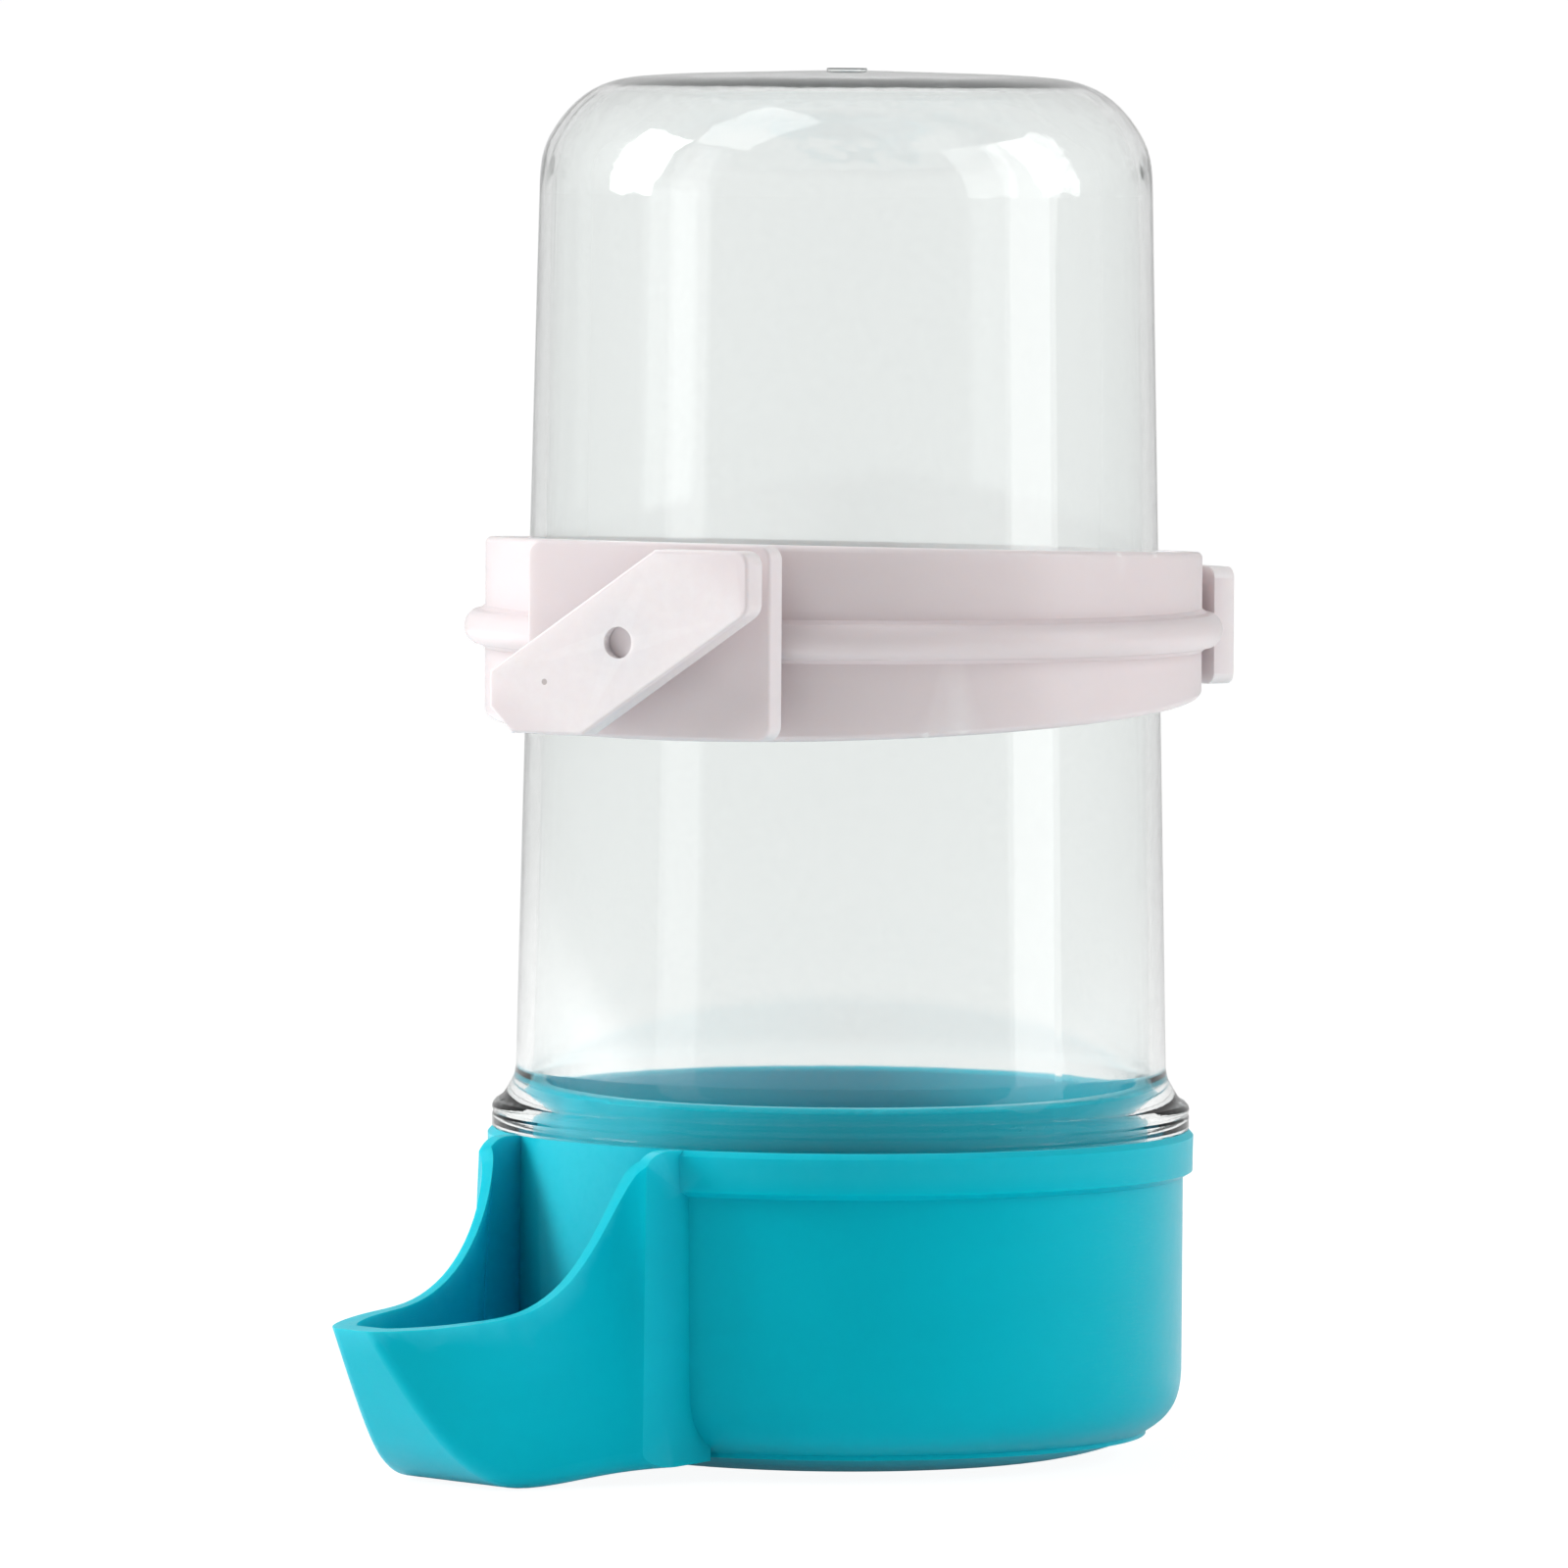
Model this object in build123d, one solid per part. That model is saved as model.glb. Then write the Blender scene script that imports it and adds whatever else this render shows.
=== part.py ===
from build123d import *
import math
import os

# Small-animal gravity drinker: a clear domed reservoir stands in a moulded cup
# base with a beak-shaped drinking trough; a white ring with a turn-lock clip
# slides on the reservoir and hangs it on cage wire.
# Frame: origin at the centre of the base underside, +Z up, trough towards -Y.
# Millimetres. "Ahead" is distance from the Z axis towards -Y.

# ---- base cup -------------------------------------------------------------
BODY_R = 32.0          # outer radius of the cup body
BODY_WALL = 1.85       # sets the inside radius of the lower edge
FLOOR_T = 2.0
FLAT_R = 15.0          # flat middle of the underside; it lifts slightly outside this
LIFT = 0.75
BOTTOM_ROUND = 7.8     # rounded lower edge of the cup
RIM_R = 32.9           # rim band around the top of the cup
RIM_Z0, RIM_Z1 = 26.4, 30.4
COLLAR_GAP = 0.12      # inner collar of the cup, inside the reservoir's mouth
COLLAR_WALL = 1.4
COLLAR_Z1 = 34.0
COLLAR_ROUND = 0.45
PORT_W = 12.0          # water port through the cup wall behind the trough
PORT_Z0, PORT_Z1 = 4.2, 12.3
PORT_Y = -31.0
PORT_DEPTH = 10.0
PORT_ROUND = 2.0       # upper corners

# ---- drinking trough ------------------------------------------------------
TROUGH_WALL = 1.5
# outer plan outline at the bottom and at the top: (half width, distance ahead)
PLAN_LOW = [
    (12.5, 27.0), (12.4, 35.2), (11.1, 40.4), (9.5, 45.2),
    (7.2, 49.6), (4.2, 52.8), (0.0, 54.3),
]
PLAN_TOP = [
    (12.4, 27.0), (11.7, 34.3), (8.3, 36.8), (6.9, 41.0),
    (7.0, 50.0), (6.2, 60.2), (0.0, 67.4),
]
PLAN_TOP_Z = 31.2
HOLLOW_Z0 = 0.5        # bottom of the hollow's loft, before its floor is cut
HOLLOW_RISE = 6.0      # how far the hollow's loft runs above the outer one
# side profiles: (distance ahead, height)
NOSE = [
    (22.0, 2.6), (28.0, 1.7), (35.0, 1.2), (40.0, 0.6), (44.2, 0.1), (47.1, 0.2),
    (50.1, 1.6), (53.0, 4.5), (55.7, 8.3), (58.0, 12.0), (59.9, 15.3), (60.9, 17.1),
]
INNER_NOSE = [
    (22.0, 4.6), (28.0, 3.8), (35.0, 3.2), (40.0, 2.5), (44.0, 2.0), (46.6, 2.3),
    (49.2, 3.9), (52.0, 7.0), (54.6, 10.6), (56.7, 13.9), (58.3, 17.0), (59.4, 19.5),
]
LIP = [
    (31.9, 30.4), (33.9, 29.6), (35.3, 27.1), (37.7, 22.3), (41.2, 18.3),
    (45.5, 16.1), (50.4, 15.4), (55.4, 15.0), (63.0, 14.6),
]
NOSE_ROUND = 1.7
HOLLOW_ROUND = 0.9
# reach of the prisms that trim the trough
CUT_AHEAD, CUT_BEHIND = 90.0, -10.0
CUT_BOTTOM, CUT_TOP = -5.0, 60.0
CUT_HALF_W = 40.0

# ---- reservoir bottle -----------------------------------------------------
BOTTLE_WALL = 1.25
SKIRT_R = 30.06        # plug skirt that goes down into the cup
SKIRT_IN_R = SKIRT_R - BOTTLE_WALL
SOCKET_GAP = 0.06      # running clearance between skirt and cup wall
SKIRT_Z0 = 13.7
SKIRT_BEVEL = 0.5
FLANGE_R = 32.55
FLANGE_GAP = 0.02      # between the flange and the cup rim
FLANGE_Z0 = RIM_Z1 + FLANGE_GAP
FLANGE_Z1 = 32.8
WALL_Z0, WALL_Z1 = 36.1, 117.4
WALL_R0 = 30.35        # wall radius just above the flange
WALL_R1 = 28.55        # wall radius just below the dome corner
DOME_Z = 128.3         # height where the crown begins
DOME_R = WALL_R1 - 9.2
DOME_IN_R = WALL_R1 - 9.6
CROWN_Z = 128.95
CROWN_MID_R, CROWN_MID_DROP = 9.0, 0.18   # halfway point of the crown's curve
GATE_R, GATE_H = 1.9, 0.22   # moulding gate scar at the top of the dome
GATE_SUNK = 0.15       # how far the scar starts below the crown
GATE_ROUND = 0.12

# ---- ring -----------------------------------------------------------------
RING_Z = 77.1
BAND_R = 33.4
BAND_WALL = 2.0
BAND_IN_R = BAND_R - BAND_WALL
BAND_UP, BAND_UP_SWING = 7.75, 1.1      # edge above the bead: mean, and extra at the clip
BAND_DOWN, BAND_DOWN_SWING = 7.1, 2.2   # edge below the bead
BAND_BLANK = 14.0      # half height of the band before its edges are cut
BAND_ROUND = 0.55
BORE_REACH = 20.0      # half height of the bore cut
BEAD_R = 35.35
BEAD_H = 3.3
GRIP_GAP = 0.10        # clearance of the grip ribs on the bottle at rest
GRIP_COUNT = 8
GRIP_W = 1.6
GRIP_DEPTH = 3.0
GRIP_MID_R = 30.7
GRIP_HALF_H = 4.2
GRIP_LAP = 0.4         # overlap of the ribs into the band
CONE_EXTRA = 1.0       # the cone that trims the ribs runs past both their ends

# ---- clip and rest pad ----------------------------------------------------
# inner and outer faces are distances out from the Z axis
CLIP_DEG = 19.0        # direction of the clip, from -Y towards +X
BACK_IN, BACK_OUT = 34.5, 36.7
BACK_W, BACK_H, BACK_CORNER = 25.4, 17.8, 1.4
BACK_ROUND = 0.3
PAD_DEG = 170.0        # plain rest pad on the far side of the ring
PAD_IN, PAD_OUT = 33.9, 36.1
PAD_W, PAD_H, PAD_CORNER = 22.8, 11.0, 1.1
# blocks joining each plate to the band: (inner face, width, height)
BACK_WEBS = [(29.0, 20.0, 1.8), (31.5, 12.0, 13.2)]
PAD_WEBS = [(29.5, 19.0, 1.8), (31.0, 10.0, 8.0)]
WEB_LAP = 0.3          # overlap of the blocks into the plates
WIRE_GAP = 2.9
LOCK_IN = BACK_OUT + WIRE_GAP
LOCK_T = 2.6
LOCK_W, LOCK_H = 27.0, 17.0
LOCK_CUT_X = 3.7       # where the diagonal cut meets the top edge
LOCK_CUT_Z = -2.9      # where it meets the side edge
LOCK_BEVEL = 2.3
LOCK_CORNER = 1.3      # rounded corner opposite the bevelled one
LOCK_CUT_CORNER = 1.6  # rounded corner where the lower cut meets the side
LOCK_ROUND = 0.35      # outer face edges

# ---- post -----------------------------------------------------------------
# distances out are measured from the lock plate's inner face
POST_R = 2.6
POST_TIP_R = POST_R - 0.1
POST_BEAD_R = 2.95
POST_NECK_OUT = 0.55
POST_BEAD_OUT0, POST_BEAD_OUT1 = 0.75, 1.05
POST_TIP_OUT = 1.5
POST_FOOT_R = POST_R + 0.4
POST_FOOT_GAP = 0.15   # the foot stops this far short of the lock plate
POST_SUNK = 0.5        # overlap of the foot into the back plate
POST_HOLE_R = 1.45     # hole through the lock plate over the post's end
POST_PLAY = 0.05       # radial running clearance of the lock plate on its post
VOID_OVERRUN = 1.0     # the lock plate's hole cut runs past both its faces


# ---- helpers --------------------------------------------------------------
def rod(radius, z0, z1):
    """Cylinder about the Z axis."""
    return Pos(0, 0, (z0 + z1) / 2) * Cylinder(radius, z1 - z0)


def revolved(points):
    """Solid turned about Z from a closed (radius, height) polyline."""
    with BuildSketch(Plane.XZ) as profile:
        with BuildLine():
            Polyline(*points)
        make_face()
    return revolve(profile.sketch, Axis.Z)


def radial(degrees):
    """Plane whose X is tangent, Y is up and Z points outwards from the axis."""
    angle = math.radians(degrees)
    return Plane(
        origin=(0, 0, RING_Z),
        x_dir=(math.cos(angle), math.sin(angle), 0),
        z_dir=(math.sin(angle), -math.cos(angle), 0),
    )


def slab(plane, inner, outer, outline):
    """Outline extruded between two distances out from a plane."""
    return extrude(plane.offset(inner) * outline, amount=outer - inner)


def edges_at(shape, plane, distance):
    """Edges centred at a distance out from a plane."""
    return [
        edge for edge in shape.edges()
        if abs((edge.center() - plane.origin).dot(plane.z_dir) - distance) < 0.01
    ]


def plan_face(points, z):
    """Level face mirrored about the centreline: straight root walls, smooth nose."""
    right = [Vector(w, -ahead, z) for w, ahead in points]
    left = [Vector(-w, -ahead, z) for w, ahead in reversed(points[:-1])]
    return Face(Wire([
        Line(right[0], right[1]),
        Spline(*(right[1:] + left[:-1])),
        Line(left[-2], left[-1]),
        Line(left[-1], right[0]),
    ]))


def inset(points, distance):
    """Plan outline moved inwards along its local normals; the root keeps its place ahead."""
    moved = [(points[0][0] - distance, points[0][1])]
    mirrored = points + [(-points[-2][0], points[-2][1])]
    for before, (width, ahead), after in zip(points, points[1:], mirrored[2:]):
        run_x, run_y = after[0] - before[0], after[1] - before[1]
        length = math.hypot(run_x, run_y)
        moved.append((width - distance * run_y / length, ahead + distance * run_x / length))
    return moved


def side_cut(points, corners):
    """Prism across X from a side profile curve, closed through the corners."""
    curve = Spline(*[Vector(0, -ahead, z) for ahead, z in points])
    closing = [Vector(0, -ahead, z) for ahead, z in [points[-1], *corners, points[0]]]
    lines = [Line(start, end) for start, end in zip(closing, closing[1:])]
    face = Face(Wire([curve] + lines))
    return extrude(face, amount=CUT_HALF_W, dir=(1, 0, 0), both=True)


def cut_below(points):
    """Prism that removes everything under and ahead of a nose profile."""
    return side_cut(points, [
        (CUT_AHEAD, points[-1][1]), (CUT_AHEAD, CUT_BOTTOM), (points[0][0], CUT_BOTTOM),
    ])


def soften(shape, radius, edges):
    """Fillet that leaves the shape as it is where the lofted edges can't be rounded."""
    try:
        return shape.fillet(radius, edges)
    except Exception:
        return shape


# ---- base -----------------------------------------------------------------
def make_cup():
    """Solid of revolution with the cup's outer shape."""
    round_top = (BODY_R, BOTTOM_ROUND + LIFT)
    with BuildSketch(Plane.XZ) as profile:
        with BuildLine():
            Line((0, 0), (FLAT_R, 0))
            Spline(
                (FLAT_R, 0), (BODY_R - BOTTOM_ROUND, LIFT),
                (BODY_R - 2.2, BOTTOM_ROUND * 0.3 + LIFT), round_top,
                tangents=[(1, 0), (0, 1)],
            )
            Polyline(
                round_top, (BODY_R, RIM_Z0 - 0.3), (RIM_R, RIM_Z0 + 0.25),
                (RIM_R + 0.05, RIM_Z1 - 0.5), (RIM_R - 0.4, RIM_Z1), (0, RIM_Z1), (0, 0),
            )
        make_face()
    return revolve(profile.sketch, Axis.Z)


def make_nose():
    """Outer solid of the trough."""
    nose = loft([plan_face(PLAN_LOW, 0.0), plan_face(PLAN_TOP, PLAN_TOP_Z)], ruled=True)
    nose -= cut_below(NOSE)
    nose -= side_cut(LIP, [
        (CUT_AHEAD, LIP[-1][1]), (CUT_AHEAD, CUT_TOP),
        (CUT_BEHIND, CUT_TOP), (CUT_BEHIND, LIP[0][1]),
    ])
    # underside and nose edges
    return soften(nose, NOSE_ROUND, [
        edge for edge in nose.edges()
        if edge.center().Z < 13.0 and -61.5 < edge.center().Y < -36.0
        and abs(edge.center().X) > 1.0 and edge.length > 4
    ])


def make_hollow():
    """Inside of the trough, stopping at the cup wall."""
    low = plan_face(inset(PLAN_LOW, TROUGH_WALL), HOLLOW_Z0)
    top = plan_face(inset(PLAN_TOP, TROUGH_WALL), PLAN_TOP_Z + HOLLOW_RISE)
    hollow = loft([low, top], ruled=True)
    hollow -= cut_below(INNER_NOSE)
    hollow = soften(hollow, HOLLOW_ROUND, [
        edge for edge in hollow.edges()
        if edge.center().Z < 11.0 and abs(edge.center().X) > 1.0
        and edge.length > 3 and edge.center().Y < -30
    ])
    return hollow - rod(BODY_R, -1, 80)


def make_base():
    shell = make_cup() + make_nose()
    well = rod(SKIRT_R + SOCKET_GAP, FLOOR_T + LIFT / 2, RIM_Z1 + 5)
    well_edge = [edge for edge in well.edges() if edge.center().Z < FLOOR_T + LIFT]
    well = well.fillet(BOTTOM_ROUND - BODY_WALL, well_edge)

    port = Pos(0, PORT_Y, (PORT_Z0 + PORT_Z1) / 2) * Box(PORT_W, PORT_DEPTH, PORT_Z1 - PORT_Z0)
    port = port.fillet(PORT_ROUND, [
        edge for edge in port.edges()
        if abs(edge.center().X) > PORT_W / 2 - 0.1 and edge.center().Z > PORT_Z1 - 0.1
    ])

    collar_r = SKIRT_IN_R - COLLAR_GAP
    collar = rod(collar_r, FLOOR_T, COLLAR_Z1)
    collar -= rod(collar_r - COLLAR_WALL, FLOOR_T - 1, COLLAR_Z1 + 1)
    collar_top = [edge for edge in collar.edges() if edge.center().Z > COLLAR_Z1 - 0.1]
    collar = collar.fillet(COLLAR_ROUND, collar_top)
    return (shell - well + collar) - make_hollow() - port


# ---- bottle ---------------------------------------------------------------
def make_bottle():
    wall = BOTTLE_WALL
    corner_in = (WALL_R1 - wall, WALL_Z1)
    dome_in, dome_out = (DOME_IN_R, DOME_Z - wall), (DOME_R, DOME_Z)
    crown_in, crown_out = (0, CROWN_Z - wall), (0, CROWN_Z)
    crown_mid_z = CROWN_Z - CROWN_MID_DROP
    flange_top = (FLANGE_R - 0.35, FLANGE_Z1 + 0.12)
    flange_side = (FLANGE_R - 0.12, FLANGE_Z1 - 0.95)
    with BuildSketch(Plane.XZ) as profile:
        with BuildLine():
            # inside, from the open mouth to the crown
            Polyline((SKIRT_IN_R, SKIRT_Z0), (SKIRT_IN_R, WALL_Z0), corner_in)
            Spline(
                corner_in, (WALL_R1 - 1.55 - wall, WALL_Z1 + 5.6),
                (WALL_R1 - 4.3 - wall, WALL_Z1 + 8.55), dome_in,
                tangents=[(-0.02, 1.0), (-1.0, 0.10)],
            )
            Spline(
                dome_in, (CROWN_MID_R, crown_mid_z - wall), crown_in,
                tangents=[(-1.0, 0.10), (-1.0, 0.0)],
            )
            Line(crown_in, crown_out)
            # outside, back down
            Spline(
                crown_out, (CROWN_MID_R, crown_mid_z), dome_out,
                tangents=[(1.0, 0.0), (1.0, -0.10)],
            )
            Spline(
                dome_out, (WALL_R1 - 3.6, DOME_Z - 2.2),
                (WALL_R1 - 0.95, DOME_Z - 5.6), (WALL_R1, WALL_Z1),
                tangents=[(1.0, -0.10), (0.02, -1.0)],
            )
            Line((WALL_R1, WALL_Z1), (WALL_R0, WALL_Z0))
            Spline(
                (WALL_R0, WALL_Z0), (WALL_R0 + 0.7, FLANGE_Z1 + 1.35), flange_top,
                tangents=[(0.05, -1.0), (1.0, -0.35)],
            )
            Spline(flange_top, (FLANGE_R, FLANGE_Z1 - 0.45), flange_side)
            Polyline(
                flange_side, (FLANGE_R, FLANGE_Z1 - 1.2), (FLANGE_R, FLANGE_Z0 + 0.15),
                (FLANGE_R - 0.15, FLANGE_Z0), (SKIRT_R, FLANGE_Z0),
                (SKIRT_R, SKIRT_Z0 + SKIRT_BEVEL), (SKIRT_R - SKIRT_BEVEL, SKIRT_Z0),
                (SKIRT_IN_R, SKIRT_Z0),
            )
        make_face()
    bottle = revolve(profile.sketch, Axis.Z)
    gate = Pos(0, 0, CROWN_Z + GATE_H / 2 - GATE_SUNK) * Cylinder(GATE_R, GATE_H + 2 * GATE_SUNK)
    gate_top = [edge for edge in gate.edges() if edge.center().Z > CROWN_Z]
    return bottle + gate.fillet(GATE_ROUND, gate_top)


# ---- ring -----------------------------------------------------------------
def make_band(clip):
    """Solid band, deepest at the clip, with edges on two tilted planes."""
    band = rod(BAND_R, RING_Z - BAND_BLANK, RING_Z + BAND_BLANK)
    for side, height, swing in ((1, BAND_UP, BAND_UP_SWING), (-1, BAND_DOWN, BAND_DOWN_SWING)):
        normal = (Vector(0, 0, side) - clip.z_dir * (swing / BAND_R)).normalized()
        edge_plane = Plane(origin=(0, 0, RING_Z + side * height), z_dir=normal)
        band = split(band, bisect_by=edge_plane, keep=Keep.BOTTOM)
    return band.fillet(BAND_ROUND, [edge for edge in band.edges() if edge.length > 150])


def make_bead():
    """Rounded bead around the band."""
    top_z = RING_Z + BEAD_H / 2
    upper = [
        (BAND_R - 1, top_z + 0.35), (BAND_R, top_z + 0.35),
        (BAND_R + 0.45, top_z), (BEAD_R - 0.85, top_z - 0.15),
    ]
    lower = [(radius, 2 * RING_Z - z) for radius, z in reversed(upper)]
    with BuildSketch(Plane.XZ) as profile:
        with BuildLine():
            Polyline(*upper)
            ThreePointArc(upper[-1], (BEAD_R, RING_Z), lower[0])
            Polyline(*lower, upper[0])
        make_face()
    return revolve(profile.sketch, Axis.Z)


def make_webs(plane, webs, outer):
    """Two blocks between the band and a plate."""
    first, second = [slab(plane, inner, outer, Rectangle(w, h)) for inner, w, h in webs]
    return first + second


def make_post(clip):
    """Solid snap post that carries the lock plate; its end shows in the plate's hole."""
    root = BACK_OUT - POST_SUNK
    foot_top = LOCK_IN - POST_FOOT_GAP
    return clip.location * revolved([
        (0, root), (POST_FOOT_R, root), (POST_FOOT_R, foot_top), (POST_R, foot_top),
        (POST_R, LOCK_IN + POST_NECK_OUT), (POST_BEAD_R, LOCK_IN + POST_BEAD_OUT0),
        (POST_BEAD_R, LOCK_IN + POST_BEAD_OUT1), (POST_TIP_R, LOCK_IN + POST_TIP_OUT),
        (0, LOCK_IN + POST_TIP_OUT), (0, root),
    ])


def rib_face_r(z):
    """Radius of the ribs' inner faces, following the bottle's taper."""
    slope = (WALL_R1 - WALL_R0) / (WALL_Z1 - WALL_Z0)
    return WALL_R0 + slope * (z - WALL_Z0) + GRIP_GAP


def make_ring(clip):
    ring = make_band(clip) + make_bead()

    back = slab(clip, BACK_IN, BACK_OUT, RectangleRounded(BACK_W, BACK_H, BACK_CORNER))
    back = back.fillet(BACK_ROUND, edges_at(back, clip, BACK_OUT))
    back += make_webs(clip, BACK_WEBS, BACK_IN + WEB_LAP)
    rest = radial(PAD_DEG)
    pad = slab(rest, PAD_IN, PAD_OUT, RectangleRounded(PAD_W, PAD_H, PAD_CORNER))
    pad += make_webs(rest, PAD_WEBS, PAD_IN + WEB_LAP)
    ring = ring + back + pad
    ring = ring + make_post(clip)

    # inside: clear of the bottle, with grip ribs that rest on it
    bore_z = (RING_Z - BORE_REACH, RING_Z + BORE_REACH)
    ring -= rod(BAND_IN_R, *bore_z)
    reach = GRIP_HALF_H + CONE_EXTRA
    cone = Pos(0, 0, RING_Z) * Cone(
        rib_face_r(RING_Z - reach), rib_face_r(RING_Z + reach), 2 * reach
    )
    pitch = 360 / GRIP_COUNT
    for i in range(GRIP_COUNT):
        rib = Pos(0, -GRIP_MID_R, RING_Z) * Box(GRIP_W, GRIP_DEPTH, 2 * GRIP_HALF_H)
        rib = Rot(0, 0, CLIP_DEG + (i + 0.5) * pitch) * rib
        rib &= rod(BAND_IN_R + GRIP_LAP, *bore_z)
        ring += rib - cone
    return ring


# ---- lock plate -----------------------------------------------------------
def make_lock_plate(clip):
    """Plate with two parallel diagonal cuts, and a stepped hole for the post."""
    plane = clip.offset(LOCK_IN)
    half_w, half_h = LOCK_W / 2, LOCK_H / 2
    outline = make_face(Polyline(
        (-half_w, LOCK_CUT_Z), (LOCK_CUT_X, half_h), (half_w, half_h),
        (half_w, -LOCK_CUT_Z), (-LOCK_CUT_X, -half_h),
        (-half_w + LOCK_BEVEL, -half_h), (-half_w, -half_h + LOCK_BEVEL),
        close=True,
    ))
    for corner_y, radius in ((half_h, LOCK_CORNER), (-LOCK_CUT_Z, LOCK_CUT_CORNER)):
        outline = fillet([
            v for v in outline.vertices()
            if v.X > half_w - 0.1 and abs(v.Y - corner_y) < 0.1
        ], radius)
    lock = extrude(plane * outline, amount=LOCK_T)
    lock = lock.fillet(LOCK_ROUND, edges_at(lock, plane, LOCK_T))

    play = POST_PLAY
    tip_out = POST_TIP_OUT + 2 * play
    void = revolved([
        (0, -VOID_OVERRUN), (POST_R + play, -VOID_OVERRUN), (POST_R + play, POST_NECK_OUT),
        (POST_BEAD_R + play, POST_BEAD_OUT0 - play),
        (POST_BEAD_R + play, POST_BEAD_OUT1 + play),
        (POST_TIP_R + play, tip_out), (POST_HOLE_R, tip_out),
        (POST_HOLE_R, LOCK_T + VOID_OVERRUN), (0, LOCK_T + VOID_OVERRUN), (0, -VOID_OVERRUN),
    ])
    return lock - plane.location * void


clip_plane = radial(CLIP_DEG)
parts = {
    "base": make_base(),
    "bottle": make_bottle(),
    "ring": make_ring(clip_plane),
    "lock_plate": make_lock_plate(clip_plane),
}
os.makedirs("parts", exist_ok=True)
for name, shape in parts.items():
    shape.label = name
    export_step(shape, f"parts/{name}.step")
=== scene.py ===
"""A clear bottle with a teal base, a white ring and a white lock plate.

Units are metres and +Z is up. The pieces stand near the origin, just above a white sweep.
Azimuths are in degrees, from -Y towards +X; a larger one lies further to the camera's right.
"""
import math

import bpy
import bmesh
from mathutils import Matrix, Vector


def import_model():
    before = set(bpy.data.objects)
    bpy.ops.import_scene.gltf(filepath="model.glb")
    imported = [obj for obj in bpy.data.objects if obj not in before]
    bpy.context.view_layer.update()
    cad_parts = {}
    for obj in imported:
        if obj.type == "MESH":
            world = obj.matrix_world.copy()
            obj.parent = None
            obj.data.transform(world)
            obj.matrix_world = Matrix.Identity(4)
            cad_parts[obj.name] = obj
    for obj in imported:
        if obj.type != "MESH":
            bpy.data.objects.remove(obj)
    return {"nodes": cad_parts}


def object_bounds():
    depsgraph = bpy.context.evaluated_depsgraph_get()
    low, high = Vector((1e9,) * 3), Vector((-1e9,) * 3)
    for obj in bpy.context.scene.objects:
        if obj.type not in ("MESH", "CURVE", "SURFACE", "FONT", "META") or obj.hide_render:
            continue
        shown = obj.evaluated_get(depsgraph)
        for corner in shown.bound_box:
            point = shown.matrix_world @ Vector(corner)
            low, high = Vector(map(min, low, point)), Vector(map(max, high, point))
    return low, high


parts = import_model()["nodes"]
cad_box = [list(corner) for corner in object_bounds()]

MM_PER_M = 1000
CAMERA_AZIMUTH = 48.0

scene = bpy.context.scene
scene.view_settings.view_transform = "Standard"
scene.cycles.max_bounces = 24
scene.cycles.transmission_bounces = 18
scene.cycles.glossy_bounces = 8
scene.cycles.transparent_max_bounces = 16
scene.cycles.caustics_refractive = False
scene.cycles.caustics_reflective = False


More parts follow.
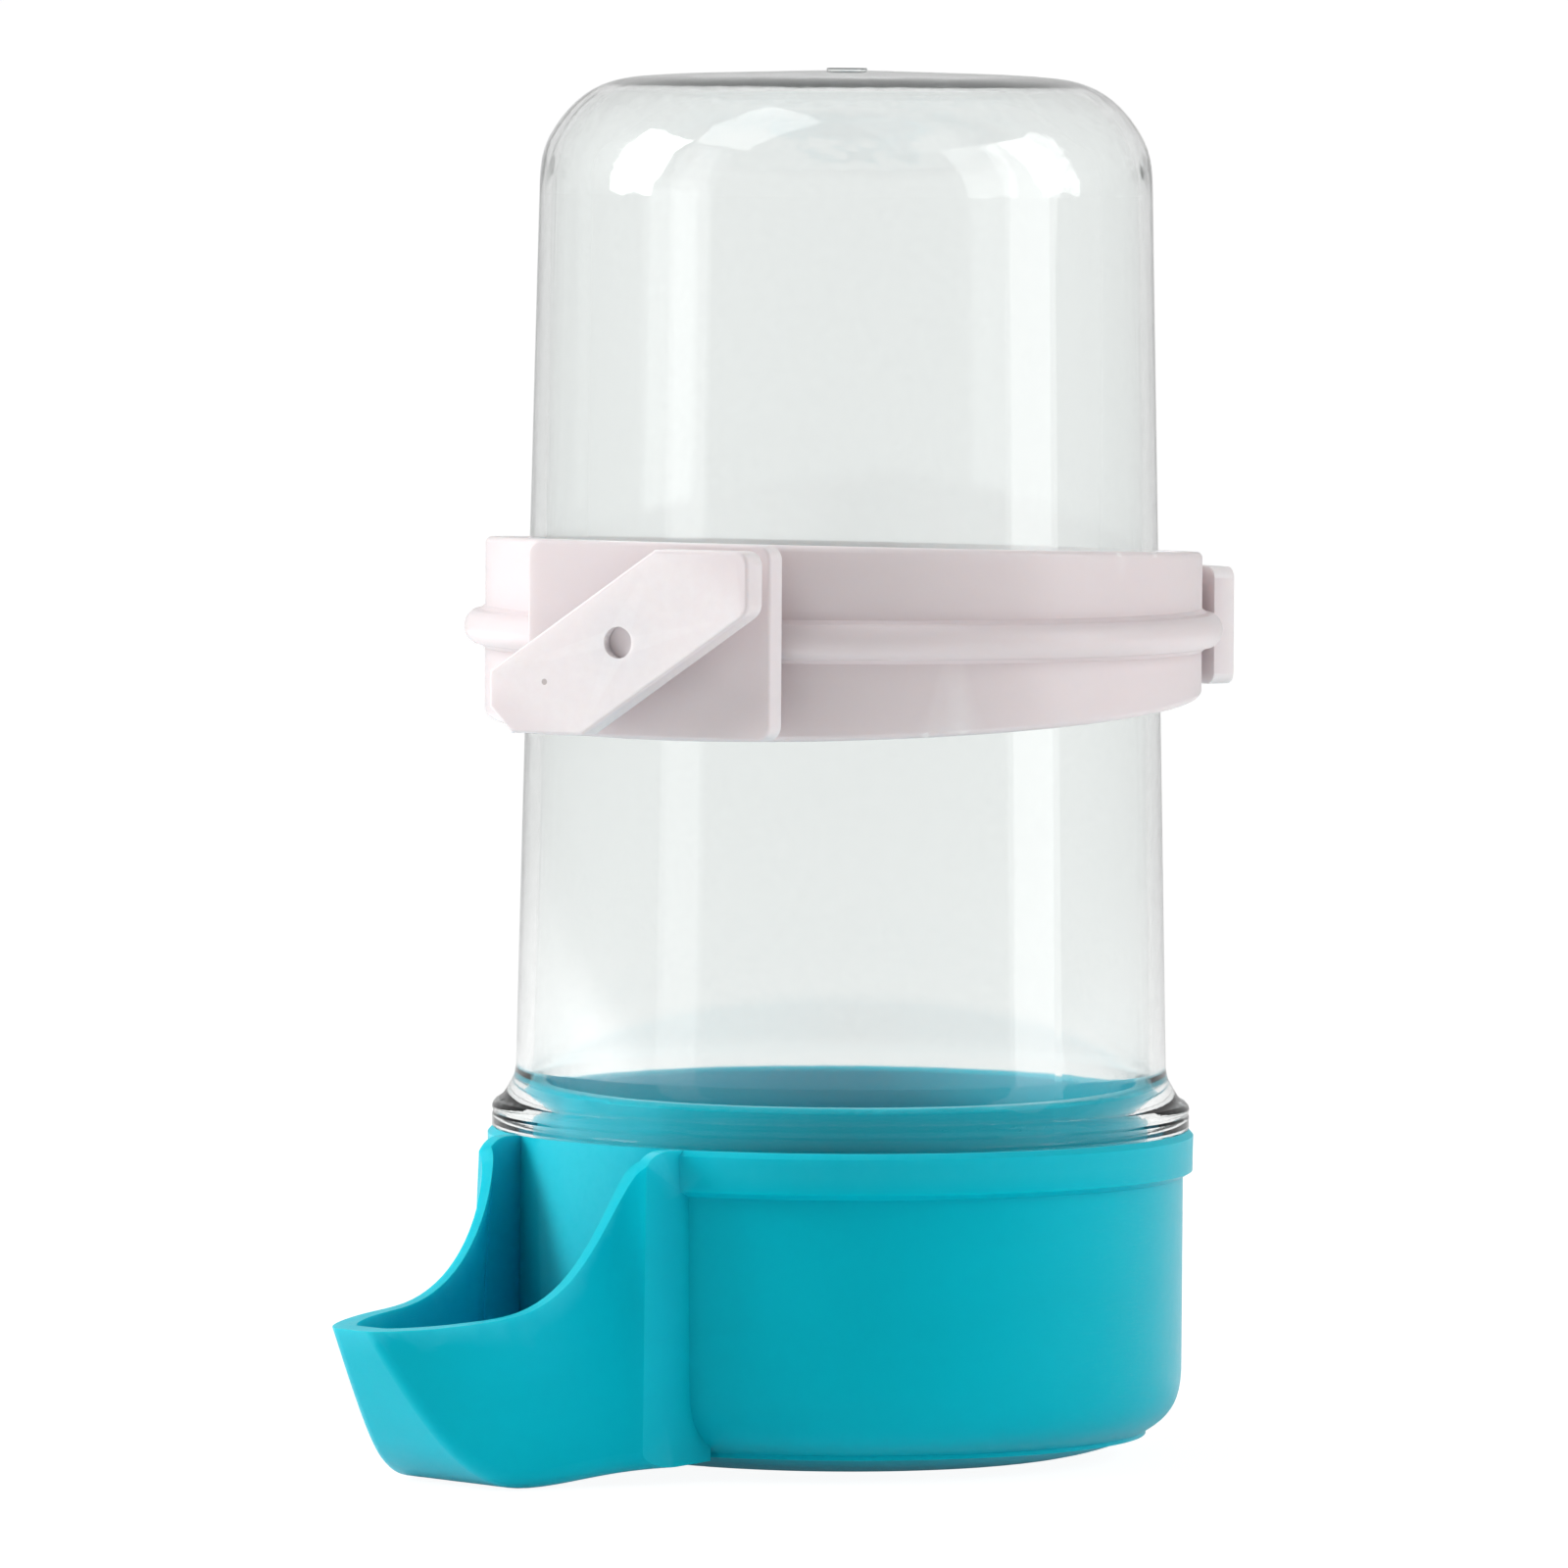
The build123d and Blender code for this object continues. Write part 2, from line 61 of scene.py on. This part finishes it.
# ------------------------------------------------------------------ node helpers
class Nodes:
    """Adds shader nodes to a tree. An input may be a value or another node's output."""

    def __init__(self, tree):
        self.tree = tree

    def put(self, node, key, value):
        socket = node.inputs[key]
        if isinstance(value, bpy.types.NodeSocket):
            self.tree.links.new(value, socket)
        elif socket.type == "RGBA":
            socket.default_value = (*value, 1)
        else:
            socket.default_value = value

    def add(self, kind, **inputs):
        """A node with inputs set by name, an underscore standing for a space."""
        node = self.tree.nodes.new(kind)
        for name, value in inputs.items():
            self.put(node, name.replace("_", " "), value)
        return node

    def math(self, operation, *values, clamp=False):
        node = self.add("ShaderNodeMath")
        node.operation = operation
        node.use_clamp = clamp
        for i, value in enumerate(values):
            self.put(node, i, value)
        return node.outputs[0]

    def plus(self, start, value, gain, clamp=False):
        """start + value * gain"""
        return self.math("ADD", start, self.math("MULTIPLY", value, gain), clamp=clamp)

    def excess(self, value, over, gain):
        """How far a value passes a threshold, times a gain, held between 0 and 1."""
        passed = self.math("SUBTRACT", value, over, clamp=True)
        return self.math("MULTIPLY", passed, gain, clamp=True)

    def mapping(self, vector, scale, rot=(0, 0, 0), loc=(0, 0, 0)):
        return self.add("ShaderNodeMapping", Vector=vector, Scale=scale,
                        Rotation=rot, Location=loc).outputs[0]

    def object_mm(self, loc=(0, 0, 0)):
        """Object coordinates in millimetres, moved by loc."""
        metres = self.add("ShaderNodeTexCoord").outputs["Object"]
        return self.mapping(metres, scale=(MM_PER_M,) * 3, loc=loc)

    def noise(self, vector, scale, detail, rough=0.5, distortion=0.0,
              stretch=None, rot=(0, 0, 0)):
        if stretch:
            vector = self.mapping(vector, scale=stretch, rot=rot)
        return self.add("ShaderNodeTexNoise", Vector=vector, Scale=scale, Detail=detail,
                        Roughness=rough, Distortion=distortion).outputs["Fac"]

    def hairlines(self, noise, half_width):
        """1 on thin lines where a noise crosses its middle value, 0 elsewhere."""
        from_middle = self.math("ABSOLUTE", self.math("SUBTRACT", noise, 0.5))
        return self.math("LESS_THAN", from_middle, half_width)

    def mix(self, factor, first, second):
        """Colour mix; sockets 0, 6 and 7 are the factor and the two colours."""
        node = self.add("ShaderNodeMix")
        node.data_type = "RGBA"
        for key, value in ((0, factor), (6, first), (7, second)):
            self.put(node, key, value)
        return node.outputs[2]

    def bump(self, height, strength, distance):
        return self.add("ShaderNodeBump", Height=height, Strength=strength,
                        Distance=distance).outputs[0]

    def mix_shader(self, factor, first, second):
        node = self.add("ShaderNodeMixShader")
        for i, value in enumerate((factor, first, second)):
            self.put(node, i, value)
        return node.outputs[0]

    def glowing_paint(self, grey, strength):
        """A matt grey with light of its own added."""
        paint = self.add("ShaderNodeBsdfDiffuse", Color=(grey,) * 3)
        glow = self.add("ShaderNodeEmission", Strength=strength)
        both = self.add("ShaderNodeAddShader")
        self.put(both, 0, paint.outputs[0])
        self.put(both, 1, glow.outputs[0])
        return both.outputs[0]

    def looked_at(self, rays):
        """1 for rays from the camera, straight or through clear plastic."""
        return self.math("MAXIMUM", rays["Is Camera Ray"], rays["Is Transmission Ray"])


def new_material(name):
    material = bpy.data.materials.new(name)
    material.use_nodes = True
    material.node_tree.nodes.clear()
    return material, Nodes(material.node_tree)


def srgb(*channels):
    """Linear colour from sRGB channels of 0 to 255."""
    def linear(channel):
        channel /= 255.0
        return channel / 12.92 if channel <= 0.04045 else ((channel + 0.055) / 1.055) ** 2.4
    return tuple(linear(channel) for channel in channels)


# ------------------------------------------------------------------ materials
def moulded_plastic(name, base, edge, shade_colour, speck, rough, coat, seed, spec, tint,
                    subsurface, radius, depth):
    """Opaque plastic: flow marks, pale worn edges, painted shade in corners, specks, scratches,
    orange peel.
    """
    material, nodes = new_material(name)
    mm = nodes.object_mm(loc=(seed, seed * 1.7, 0))
    flow = nodes.noise(mm, scale=1.0, detail=3, rough=0.55, distortion=0.6,
                       stretch=(0.05, 0.05, 0.16))
    fine = nodes.noise(mm, scale=0.9, detail=4, rough=0.6)
    flow_shade = 0.93      # brightness of the flow marks against the base colour
    body = nodes.mix(nodes.excess(flow, over=0.35, gain=1.1),
                     base, [channel * flow_shade for channel in base])

    # worn convex edges, broken up by the fine noise
    pointiness = nodes.add("ShaderNodeNewGeometry").outputs["Pointiness"]
    worn = nodes.excess(pointiness, over=0.515, gain=9.0)
    worn = nodes.math("MULTIPLY", worn, nodes.plus(0.55, fine, gain=0.8), clamp=True)

    # painted shade: corners and recesses darkened towards a shade colour by ambient occlusion
    occlusion = nodes.add("ShaderNodeAmbientOcclusion", Distance=0.004)
    occlusion.samples = 4
    corner_shade_amount = 0.16
    edge_amount = 0.55
    corner = nodes.math("SUBTRACT", 1.0, occlusion.outputs["AO"], clamp=True)
    body = nodes.mix(nodes.math("MULTIPLY", corner, corner_shade_amount, clamp=True), body, shade_colour)
    body = nodes.mix(nodes.math("MULTIPLY", worn, edge_amount), body, edge)

    # specks: a dot in each cell whose random colour passes the cut
    speck_size = 0.045
    speck_cut = 0.82
    speck_amount = 0.5
    cells = nodes.add("ShaderNodeTexVoronoi", Vector=mm, Scale=0.16, Randomness=1.0)
    dot = nodes.math("LESS_THAN", cells.outputs["Distance"], speck_size)
    cell_red = nodes.add("ShaderNodeSeparateColor", Color=cells.outputs["Color"]).outputs[0]
    chosen = nodes.math("GREATER_THAN", cell_red, speck_cut)
    specks = nodes.math("MULTIPLY", dot, chosen)
    body = nodes.mix(nodes.math("MULTIPLY", specks, speck_amount), body, speck)

    scratch_noise = nodes.noise(mm, scale=1.3, detail=2, distortion=0.2,
                                stretch=(0.25, 0.25, 5.0), rot=(0.5, 0.35, 0.2))
    scratch = nodes.hairlines(scratch_noise, half_width=0.0035)

    # roughness varies about its mean, and rises on worn edges and scratches
    roughness = nodes.plus(rough, nodes.math("SUBTRACT", fine, 0.5), gain=0.10)
    roughness = nodes.plus(roughness, worn, gain=0.12)
    roughness = nodes.plus(roughness, scratch, gain=0.10, clamp=True)

    # orange peel with the scratches cut into it
    peel_height = 1.0
    peel = nodes.noise(mm, scale=0.55, detail=2)
    height = nodes.plus(nodes.math("MULTIPLY", peel, peel_height), scratch, gain=-0.15)

    plastic = nodes.add(
        "ShaderNodeBsdfPrincipled", Base_Color=body, Roughness=roughness,
        Normal=nodes.bump(height, strength=0.35, distance=0.00006),
        IOR=1.49, Specular_IOR_Level=spec, Specular_Tint=tint,
        Subsurface_Weight=subsurface, Subsurface_Radius=radius, Subsurface_Scale=depth,
        Coat_Weight=coat, Coat_Roughness=0.08)
    nodes.add("ShaderNodeOutputMaterial", Surface=plastic.outputs[0])
    return material


def clear_plastic():
    """Clear plastic with long vertical draw marks, faint scuffs and a wavy wall."""
    material, nodes = new_material("clear_moulded_plastic")
    mm = nodes.object_mm()
    draw = nodes.noise(mm, scale=1.0, detail=3, stretch=(0.22, 0.22, 0.012))
    wave = nodes.noise(mm, scale=1.0, detail=2, stretch=(0.05, 0.05, 0.02))
    fine = nodes.noise(mm, scale=1.2, detail=4, rough=0.6)
    scratch_noise = nodes.noise(mm, scale=0.9, detail=2, distortion=0.3,
                                stretch=(0.6, 0.6, 3.5), rot=(0.25, 0.5, 0.1))
    scratch = nodes.hairlines(scratch_noise, half_width=0.0025)

    roughness = nodes.plus(0.02, fine, gain=0.04)
    roughness = nodes.plus(roughness, scratch, gain=0.15, clamp=True)
    draw_height = 0.5
    height = nodes.plus(nodes.math("MULTIPLY", draw, draw_height), wave, gain=1.2)
    normal = nodes.bump(height, strength=0.15, distance=0.0003)

    # 0 in the solid foot and 1 in the wall over it
    foot_top = 0.0335
    fade_height = 0.0035
    position = nodes.add("ShaderNodeNewGeometry").outputs["Position"]
    z = nodes.add("ShaderNodeSeparateXYZ", Vector=position).outputs[2]
    above_foot = nodes.math("DIVIDE", nodes.math("SUBTRACT", z, foot_top),
                            fade_height, clamp=True)

    # a look, not a material value: the foot's low index shows the collar behind it clearly
    glass = nodes.add(
        "ShaderNodeBsdfPrincipled", Base_Color=srgb(245.4, 247.4, 246.6),
        Transmission_Weight=1.0,
        IOR=nodes.plus(1.14, above_foot, gain=0.30),
        Coat_Weight=nodes.plus(0.18, above_foot, gain=0.52),
        Coat_IOR=1.5, Coat_Roughness=0.05, Roughness=roughness, Normal=normal)

    # a thin haze, stronger on scuffs and almost none in the foot
    haze_threshold = 0.45
    haze = nodes.add("ShaderNodeBsdfDiffuse", Color=srgb(222, 230, 227))
    cloudy = nodes.math("SUBTRACT", fine, haze_threshold, clamp=True)
    haze_amount = nodes.plus(0.012, cloudy, gain=0.04)
    haze_amount = nodes.plus(haze_amount, scratch, gain=0.04, clamp=True)
    haze_amount = nodes.math("MULTIPLY", haze_amount, nodes.plus(0.05, above_foot, gain=0.95))
    visible = nodes.mix_shader(haze_amount, glass.outputs[0], haze.outputs[0])

    # lamps and bounced light pass straight through the thin wall
    passing = nodes.add("ShaderNodeBsdfTransparent", Color=(0.965, 0.97, 0.97))
    rays = nodes.add("ShaderNodeLightPath").outputs
    through = nodes.math("MAXIMUM", rays["Is Shadow Ray"], rays["Is Diffuse Ray"])
    surface = nodes.mix_shader(through, visible, passing.outputs[0])
    nodes.add("ShaderNodeOutputMaterial", Surface=surface)
    return material


def dress(name, material):
    """Gives every slot of a piece the material, adding a slot if it has none."""
    piece = parts[name]
    if not piece.material_slots:
        piece.data.materials.append(material)
    for slot in piece.material_slots:
        slot.material = material


# the dark colour of each is the painted shade in its corners and recesses
teal = moulded_plastic(
    "teal_moulded_plastic", base=srgb(0, 187, 206), edge=srgb(70, 208, 224),
    shade_colour=srgb(0, 110, 124), speck=srgb(20, 60, 66), rough=0.30, coat=0.0, seed=3.1,
    spec=0.26, tint=(0.15, 0.85, 1.0), subsurface=0.35, radius=(0.05, 0.8, 1.0), depth=0.0025)
white = moulded_plastic(
    "white_moulded_plastic", base=srgb(229, 220, 222), edge=srgb(252, 251, 251),
    shade_colour=srgb(168, 150, 148), speck=srgb(120, 100, 92), rough=0.34, coat=0.28, seed=11.7,
    spec=0.5, tint=(1.0, 1.0, 1.0), subsurface=0.30, radius=(1.0, 0.78, 0.66), depth=0.003)
clear = clear_plastic()

dress("base", teal)
dress("ring", white)
dress("lock_plate", white)
dress("bottle", clear)

# ------------------------------------------------------------------ stage
FLOOR_GAP = 0.0001         # from the floor up to the lowest piece
SWEEP_HALF_WIDTH = 4
SWEEP_FRONT = -2.4         # the sweep's own y at its near edge
BEND_START = 1.1           # y where the floor begins to curve up
BEND_RADIUS = 0.55
BEND_STEPS = 16
SWEEP_TOP = 3.2


def sweep_material():
    material, nodes = new_material("sweep_white")
    rays = nodes.add("ShaderNodeLightPath").outputs
    # looked at, it is an even pale tone with a faint contact shadow; as a source, lit paint
    source = nodes.glowing_paint(grey=0.90, strength=0.10)
    pale = nodes.glowing_paint(grey=0.16, strength=0.935)
    surface = nodes.mix_shader(nodes.looked_at(rays), source, pale)
    nodes.add("ShaderNodeOutputMaterial", Surface=surface)
    return material


def build_sweep():
    """A floor that curves up into a back wall, turned to face the camera."""
    profile = [(SWEEP_FRONT, 0.0), (BEND_START, 0.0)]
    for i in range(1, BEND_STEPS + 1):
        angle = math.radians(i * 90 / BEND_STEPS)
        profile.append((BEND_START + BEND_RADIUS * math.sin(angle),
                        BEND_RADIUS - BEND_RADIUS * math.cos(angle)))
    profile.append((BEND_START + BEND_RADIUS, SWEEP_TOP))

    mesh = bpy.data.meshes.new("sweep")
    bm = bmesh.new()
    rows = [[bm.verts.new((x, y, z)) for x in (-SWEEP_HALF_WIDTH, SWEEP_HALF_WIDTH)]
            for y, z in profile]
    for (left, right), (next_left, next_right) in zip(rows, rows[1:]):
        face = bm.faces.new((left, right, next_right, next_left))
        face.smooth = True
    bm.to_mesh(mesh)
    bm.free()

    sweep = bpy.data.objects.new("studio_sweep", mesh)
    scene.collection.objects.link(sweep)
    sweep.rotation_euler = (0, 0, math.radians(CAMERA_AZIMUTH))
    sweep.location = (0, 0, Vector(cad_box[0]).z - FLOOR_GAP)
    mesh.materials.append(sweep_material())
    return sweep


build_sweep()

# ------------------------------------------------------------------ camera
CAMERA_DISTANCE = 1.300    # level distance from the Z axis
CAMERA_HEIGHT = 0.1312
TARGET_HEIGHT = 0.0652
CAMERA_ROLL = -0.35        # degrees
FRAME_WIDTH = 0.1462522852     # what the picture spans at the target
SENSOR_WIDTH = 36.0        # millimetres
SHIFT_X, SHIFT_Y = -0.0375, -0.01875       # lens shift, as parts of the picture's width


def build_camera():
    azimuth = math.radians(CAMERA_AZIMUTH)
    position = Vector((CAMERA_DISTANCE * math.sin(azimuth),
                       -CAMERA_DISTANCE * math.cos(azimuth), CAMERA_HEIGHT))
    target = Vector((0, 0, TARGET_HEIGHT))
    view = (target - position).normalized()
    right = view.cross(Vector((0, 0, 1))).normalized()
    up = right.cross(view)
    roll = math.radians(CAMERA_ROLL)
    rolled_right = right * math.cos(roll) + up * -math.sin(roll)
    rolled_up = up * math.cos(roll) + right * math.sin(roll)

    data = bpy.data.cameras.new("camera")
    camera = bpy.data.objects.new("camera", data)
    scene.collection.objects.link(camera)
    matrix = Matrix((rolled_right, rolled_up, -view)).transposed().to_4x4()
    matrix.translation = position
    camera.matrix_world = matrix
    data.sensor_width = SENSOR_WIDTH
    data.lens = SENSOR_WIDTH * (target - position).length / FRAME_WIDTH
    data.shift_x = SHIFT_X
    data.shift_y = SHIFT_Y
    data.clip_start = 0.05
    data.clip_end = 20.0
    scene.camera = camera


build_camera()

# ------------------------------------------------------------------ light
AMBIENT = 0.10             # world strength as a source
REFLECTED = 0.28           # world strength in reflections
LIGHT_AIM = (0, 0, 0.065)
KEY_SIZE = (0.45, 0.7)
KEY_DISTANCE = 1.1


def build_world():
    """White where looked at, dimmer as a source and in reflections, like a room."""
    world = bpy.data.worlds.new("world")
    scene.world = world
    world.use_nodes = True
    nodes = Nodes(world.node_tree)
    background = world.node_tree.nodes["Background"]
    rays = nodes.add("ShaderNodeLightPath").outputs
    strength = nodes.plus(AMBIENT, nodes.looked_at(rays), gain=1.0 - AMBIENT)
    reflected = nodes.math("MULTIPLY", rays["Is Glossy Ray"], REFLECTED)
    strength = nodes.math("MAXIMUM", strength, reflected)
    nodes.put(background, "Color", (1, 1, 1))
    nodes.put(background, "Strength", strength)


def softbox(name, size, radiance, turn, elevation, distance, mirrored):
    """A rectangular light; turn is its azimuth from the camera's, mirrored shows it in gloss."""
    data = bpy.data.lights.new(name, "AREA")
    data.shape = "RECTANGLE"
    data.size, data.size_y = size
    data.energy = radiance * math.pi * size[0] * size[1]
    light = bpy.data.objects.new(name, data)
    azimuth = math.radians(CAMERA_AZIMUTH + turn)
    rise = math.radians(elevation)
    outward = Vector((math.sin(azimuth) * math.cos(rise),
                      -math.cos(azimuth) * math.cos(rise), math.sin(rise)))
    light.location = Vector(LIGHT_AIM) + outward * distance
    light.rotation_mode = "QUATERNION"
    light.rotation_quaternion = (-outward).to_track_quat("-Z", "Y")
    light.visible_glossy = mirrored
    scene.collection.objects.link(light)


build_world()

# name, radiance, turn from the camera, elevation
KEY_LIGHTS = [
    ("key_left", 12.0, -92, 26),
    ("key_left_high", 2.6, -60, 60),
    ("key_right_high", 0.6, 40, 60),
    ("key_right", 1.9, 58, 26),
    ("side_right", 3.4, 90, 26),
]
for name, radiance, turn, elevation in KEY_LIGHTS:
    softbox(name, KEY_SIZE, radiance, turn, elevation, KEY_DISTANCE, mirrored=False)
softbox("strip_right", size=(0.40, 1.5), radiance=1.2, turn=75.5, elevation=4,
        distance=0.9, mirrored=True)
softbox("strip_left", size=(0.28, 1.4), radiance=0.65, turn=-60, elevation=4,
        distance=1.0, mirrored=True)
